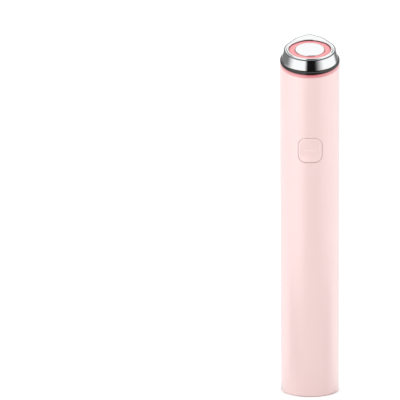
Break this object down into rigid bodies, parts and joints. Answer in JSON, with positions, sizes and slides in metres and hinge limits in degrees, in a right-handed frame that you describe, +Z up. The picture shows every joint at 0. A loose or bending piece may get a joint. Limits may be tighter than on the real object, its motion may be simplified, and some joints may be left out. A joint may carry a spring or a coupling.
{
  "type": "microcurrent facial device",
  "caption": "Slim upright hand-held microcurrent face device with a slanted drop-shaped chrome head, a light ring round the centre electrode, a glow ring and one front button.",
  "frame": {"origin": "centre of the flat base, on the axis of the round body", "axes": "+Z up along the body, -Y out through the button and the low edge of the slanted face, +Y towards the head's tip, +X to the right seen from the button side"},
  "size_m": [0.027, 0.028, 0.1649],
  "materials": {
    "pink_plastic": "satin moulded plastic",
    "soft_pad": "soft matt silicone",
    "steel": "bright steel",
    "black_plastic": "glossy black plastic",
    "circuit_board": "green solder mask",
    "ribbon": "amber film",
    "white_plastic": "plain moulded plastic",
    "cell_sleeve": "shrink sleeve over a metal can",
    "foam": "matt foam",
    "ferrite": "dull ferrite",
    "copper": "enamelled wire",
    "light_pin": "clear white plastic",
    "led": "small light chips",
    "weight_metal": "sintered heavy metal",
    "lead_cover": "soft insulation",
    "seal_rubber": "matt rubber",
    "glow_plastic": "translucent, lit from inside",
    "lens_plastic": "translucent, lit from inside",
    "chrome": "mirror chrome",
    "contact_metal": "gold-plated spring metal"
  },
  "bodies": {
    "housing": {"body_shell": "pink_plastic", "base_cap": "pink_plastic", "base_pad": "soft_pad", "base_screws": "steel", "port_shell": "steel", "port_tongue": "black_plastic", "port_board": "circuit_board", "port_ribbon": "ribbon", "inner_frame": "white_plastic", "battery_cell": "cell_sleeve", "battery_tabs": "steel", "battery_foam": "foam", "main_board": "circuit_board", "board_chips": "black_plastic", "coil_core": "ferrite", "coil_winding": "copper", "board_screws": "steel", "switch_body": "black_plastic", "button_guide": "white_plastic", "indicator_leds": "led", "motor_can": "steel", "motor_leads": "lead_cover", "neck_collar": "black_plastic", "neck_seal": "seal_rubber", "glow_ring": "glow_plastic", "ring_board": "circuit_board", "ring_leds": "led", "head_ribbon": "ribbon", "head_flange": "black_plastic", "contact_washer": "contact_metal", "electrode_carrier": "black_plastic", "lens_board": "circuit_board", "lens_leds": "led", "ring_lens": "lens_plastic", "centre_electrode": "chrome", "contact_pin": "contact_metal", "head_shell": "chrome", "head_screws": "steel"},
    "button": {"button_cap": "pink_plastic", "button_lights": "light_pin"},
    "plunger": {"switch_plunger": "white_plastic"},
    "rotor": {"motor_shaft": "steel", "motor_weight": "weight_metal"}
  },
  "joints": [
    {"name": "button_press", "type": "slide", "parent": "housing", "child": "button", "axis": [0, 1, 0], "range_m": [0, 0.0003], "stiffness_N_per_m": 1500, "springref_m": -0.0004},
    {"name": "plunger_press", "type": "slide", "parent": "housing", "child": "plunger", "axis": [0, 1, 0], "range_m": [0, 0.0003]},
    {"name": "motor_spin", "type": "hinge", "parent": "housing", "child": "rotor", "pos_m": [0, 0.003, 0.13], "axis": [0, 0, 1], "continuous": true}
  ],
  "couplings": [
    {"joint": "plunger_press", "follows": "button_press", "ratio": 1}
  ]
}
